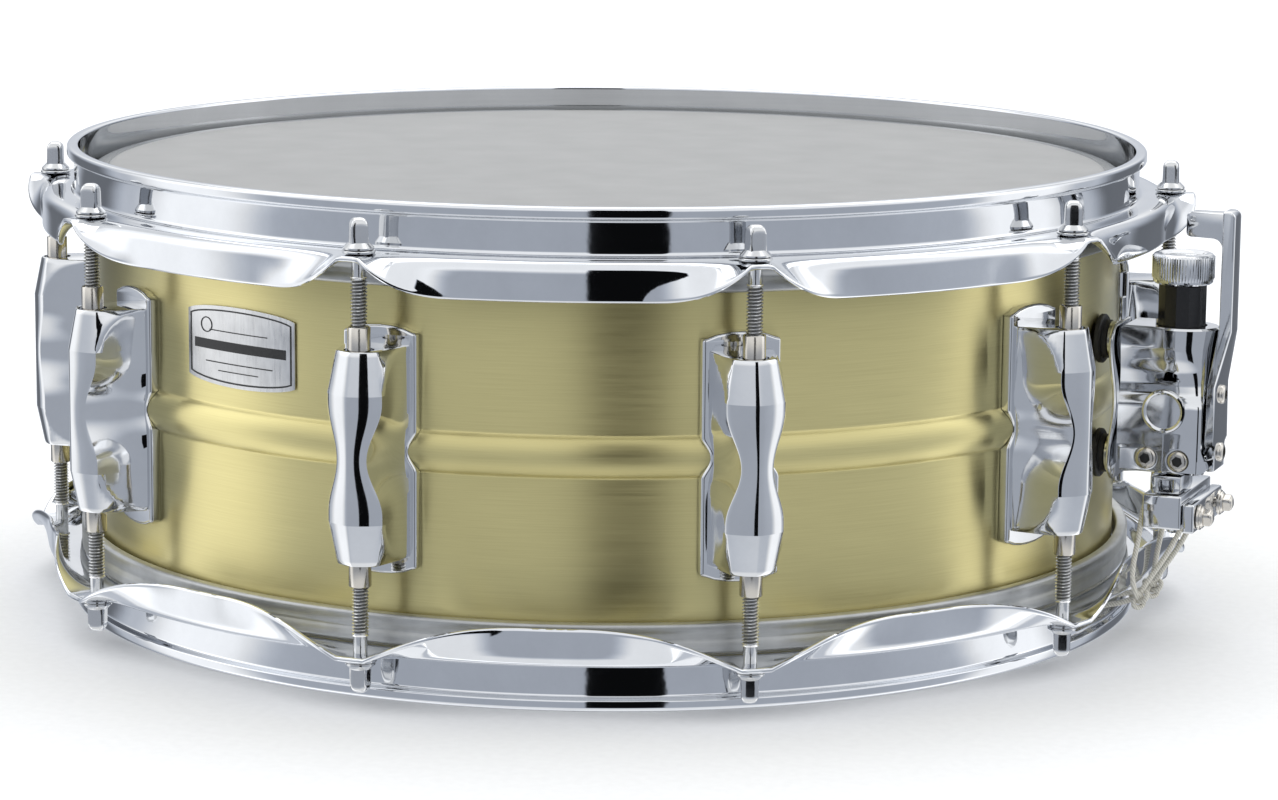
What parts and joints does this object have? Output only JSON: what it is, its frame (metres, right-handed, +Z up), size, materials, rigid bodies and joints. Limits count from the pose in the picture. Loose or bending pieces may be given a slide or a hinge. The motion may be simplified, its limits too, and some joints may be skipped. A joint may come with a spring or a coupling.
{
  "type": "snare drum",
  "caption": "Shallow metal-shelled snare drum with flanged hoops, tube-end lugs, tension rods, throw-off lever, butt end and snare wires.",
  "frame": {"origin": "centre of the batter head's top face", "axes": "+Z up along the drum's axis out of the batter head, +X towards the throw-off, snare wires along X"},
  "size_m": [0.4269, 0.407, 0.1566],
  "materials": {
    "shell_brass": "brushed round the shell, clear-coated",
    "hoop_chrome": "polished chrome plate",
    "lug_chrome": "polished chrome plate",
    "rod_chrome": "polished chrome plate",
    "strainer_chrome": "polished chrome plate",
    "flesh_hoop": "dull drawn aluminium",
    "coated_film": "sprayed rough white coating",
    "clear_film": "thin hazy film",
    "badge_metal": "satin plate with printed border lines",
    "black_rubber": "matt",
    "black_plastic": "glossy",
    "wire_steel": "bright drawn wire",
    "steel": "turned steel",
    "cord": "braided white cord"
  },
  "bodies": {
    "root": {"shell": "shell_brass", "batter_head": "coated_film", "batter_flesh_hoop": "flesh_hoop", "snare_side_head": "clear_film", "snare_side_flesh_hoop": "flesh_hoop", "batter_hoop": "hoop_chrome", "snare_side_hoop": "hoop_chrome", "badge": "badge_metal", "lug_01": "lug_chrome", "lug_02": "lug_chrome", "lug_03": "lug_chrome", "lug_04": "lug_chrome", "lug_05": "lug_chrome", "lug_06": "lug_chrome", "lug_07": "lug_chrome", "lug_08": "lug_chrome", "lug_09": "lug_chrome", "lug_10": "lug_chrome", "strainer_back_plate": "strainer_chrome", "strainer_mount_bush_upper": "black_rubber", "strainer_mount_bush_lower": "black_rubber", "strainer_housing": "strainer_chrome", "lever_hinge_pin": "steel", "butt_plate": "strainer_chrome", "butt_clamp_plate": "strainer_chrome", "butt_clamp_screw_front": "strainer_chrome", "butt_clamp_screw_back": "strainer_chrome", "strainer_cord_front": "cord", "strainer_cord_back": "cord", "butt_cord_front": "cord", "butt_cord_back": "cord"},
    "lever": {"throw_lever": "strainer_chrome"},
    "carriage": {"carriage_sleeve": "black_plastic"},
    "knob": {"adjusting_knob": "strainer_chrome"},
    "clamp": {"snare_slide": "strainer_chrome", "strainer_clamp_plate": "strainer_chrome", "strainer_clamp_screw_front": "strainer_chrome", "strainer_clamp_screw_back": "strainer_chrome"},
    "wires": {"snare_wires": "wire_steel"},
    "batter_tension_rod_01": {"batter_tension_rod_01": "rod_chrome"},
    "batter_tension_rod_02": {"batter_tension_rod_02": "rod_chrome"},
    "batter_tension_rod_03": {"batter_tension_rod_03": "rod_chrome"},
    "batter_tension_rod_04": {"batter_tension_rod_04": "rod_chrome"},
    "batter_tension_rod_05": {"batter_tension_rod_05": "rod_chrome"},
    "batter_tension_rod_06": {"batter_tension_rod_06": "rod_chrome"},
    "batter_tension_rod_07": {"batter_tension_rod_07": "rod_chrome"},
    "batter_tension_rod_08": {"batter_tension_rod_08": "rod_chrome"},
    "batter_tension_rod_09": {"batter_tension_rod_09": "rod_chrome"},
    "batter_tension_rod_10": {"batter_tension_rod_10": "rod_chrome"},
    "snare_tension_rod_01": {"snare_tension_rod_01": "rod_chrome"},
    "snare_tension_rod_02": {"snare_tension_rod_02": "rod_chrome"},
    "snare_tension_rod_03": {"snare_tension_rod_03": "rod_chrome"},
    "snare_tension_rod_04": {"snare_tension_rod_04": "rod_chrome"},
    "snare_tension_rod_05": {"snare_tension_rod_05": "rod_chrome"},
    "snare_tension_rod_06": {"snare_tension_rod_06": "rod_chrome"},
    "snare_tension_rod_07": {"snare_tension_rod_07": "rod_chrome"},
    "snare_tension_rod_08": {"snare_tension_rod_08": "rod_chrome"},
    "snare_tension_rod_09": {"snare_tension_rod_09": "rod_chrome"},
    "snare_tension_rod_10": {"snare_tension_rod_10": "rod_chrome"}
  },
  "joints": [
    {"name": "lever_throw", "type": "hinge", "parent": "root", "child": "lever", "pos_m": [0.216, 0, -0.0881], "axis": [0, 1, 0], "range_deg": [0, 70]},
    {"name": "adjusting_knob_turn", "type": "hinge", "parent": "carriage", "child": "knob", "pos_m": [0.2063, 0, -0.0251], "axis": [0, 0, 1], "range_deg": [-361, 721]},
    {"name": "carriage_drop", "type": "slide", "parent": "root", "child": "carriage", "axis": [0, 0, 1], "range_m": [-0.0086, 0.0001], "deforming": ["strainer_cord_front", "strainer_cord_back"]},
    {"name": "clamp_fine_adjust", "type": "slide", "parent": "carriage", "child": "clamp", "axis": [0, 0, 1], "range_m": [-0.0016, 0.0008]},
    {"name": "snare_drop", "type": "hinge", "parent": "root", "child": "wires", "pos_m": [-0.165, 0, -0.1414], "axis": [0, 1, 0], "range_deg": [-0.01, 0.61]},
    {"name": "tension_rod_batter_01_turn", "type": "hinge", "parent": "root", "child": "batter_tension_rod_01", "pos_m": [0.18546, 0.06026, -0.0101], "axis": [0, 0, 1], "range_deg": [-360, 360]},
    {"name": "tension_rod_batter_02_turn", "type": "hinge", "parent": "root", "child": "batter_tension_rod_02", "pos_m": [0.11462, 0.15776, -0.0101], "axis": [0, 0, 1], "range_deg": [-360, 360]},
    {"name": "tension_rod_batter_03_turn", "type": "hinge", "parent": "root", "child": "batter_tension_rod_03", "pos_m": [0, 0.195, -0.0101], "axis": [0, 0, 1], "range_deg": [-360, 360]},
    {"name": "tension_rod_batter_04_turn", "type": "hinge", "parent": "root", "child": "batter_tension_rod_04", "pos_m": [-0.11462, 0.15776, -0.0101], "axis": [0, 0, 1], "range_deg": [-360, 360]},
    {"name": "tension_rod_batter_05_turn", "type": "hinge", "parent": "root", "child": "batter_tension_rod_05", "pos_m": [-0.18546, 0.06026, -0.0101], "axis": [0, 0, 1], "range_deg": [-360, 360]},
    {"name": "tension_rod_batter_06_turn", "type": "hinge", "parent": "root", "child": "batter_tension_rod_06", "pos_m": [-0.18546, -0.06026, -0.0101], "axis": [0, 0, 1], "range_deg": [-360, 360]},
    {"name": "tension_rod_batter_07_turn", "type": "hinge", "parent": "root", "child": "batter_tension_rod_07", "pos_m": [-0.11462, -0.15776, -0.0101], "axis": [0, 0, 1], "range_deg": [-360, 360]},
    {"name": "tension_rod_batter_08_turn", "type": "hinge", "parent": "root", "child": "batter_tension_rod_08", "pos_m": [0, -0.195, -0.0101], "axis": [0, 0, 1], "range_deg": [-360, 360]},
    {"name": "tension_rod_batter_09_turn", "type": "hinge", "parent": "root", "child": "batter_tension_rod_09", "pos_m": [0.11462, -0.15776, -0.0101], "axis": [0, 0, 1], "range_deg": [-360, 360]},
    {"name": "tension_rod_batter_10_turn", "type": "hinge", "parent": "root", "child": "batter_tension_rod_10", "pos_m": [0.18546, -0.06026, -0.0101], "axis": [0, 0, 1], "range_deg": [-360, 360]},
    {"name": "tension_rod_snare_01_turn", "type": "hinge", "parent": "root", "child": "snare_tension_rod_01", "pos_m": [0.18546, 0.06026, -0.1301], "axis": [0, 0, 1], "range_deg": [-360, 360]},
    {"name": "tension_rod_snare_02_turn", "type": "hinge", "parent": "root", "child": "snare_tension_rod_02", "pos_m": [0.11462, 0.15776, -0.1301], "axis": [0, 0, 1], "range_deg": [-360, 360]},
    {"name": "tension_rod_snare_03_turn", "type": "hinge", "parent": "root", "child": "snare_tension_rod_03", "pos_m": [0, 0.195, -0.1301], "axis": [0, 0, 1], "range_deg": [-360, 360]},
    {"name": "tension_rod_snare_04_turn", "type": "hinge", "parent": "root", "child": "snare_tension_rod_04", "pos_m": [-0.11462, 0.15776, -0.1301], "axis": [0, 0, 1], "range_deg": [-360, 360]},
    {"name": "tension_rod_snare_05_turn", "type": "hinge", "parent": "root", "child": "snare_tension_rod_05", "pos_m": [-0.18546, 0.06026, -0.1301], "axis": [0, 0, 1], "range_deg": [-360, 360]},
    {"name": "tension_rod_snare_06_turn", "type": "hinge", "parent": "root", "child": "snare_tension_rod_06", "pos_m": [-0.18546, -0.06026, -0.1301], "axis": [0, 0, 1], "range_deg": [-360, 360]},
    {"name": "tension_rod_snare_07_turn", "type": "hinge", "parent": "root", "child": "snare_tension_rod_07", "pos_m": [-0.11462, -0.15776, -0.1301], "axis": [0, 0, 1], "range_deg": [-360, 360]},
    {"name": "tension_rod_snare_08_turn", "type": "hinge", "parent": "root", "child": "snare_tension_rod_08", "pos_m": [0, -0.195, -0.1301], "axis": [0, 0, 1], "range_deg": [-360, 360]},
    {"name": "tension_rod_snare_09_turn", "type": "hinge", "parent": "root", "child": "snare_tension_rod_09", "pos_m": [0.11462, -0.15776, -0.1301], "axis": [0, 0, 1], "range_deg": [-360, 360]},
    {"name": "tension_rod_snare_10_turn", "type": "hinge", "parent": "root", "child": "snare_tension_rod_10", "pos_m": [0.18546, -0.06026, -0.1301], "axis": [0, 0, 1], "range_deg": [-360, 360]}
  ],
  "couplings": [
    {"joint": "carriage_drop", "follows": "lever_throw", "m_per_rad": -0.0069573},
    {"joint": "snare_drop", "follows": "lever_throw", "ratio": 0.0085714},
    {"joint": "adjusting_knob_turn", "follows": "clamp_fine_adjust", "rad_per_m": -7854}
  ]
}
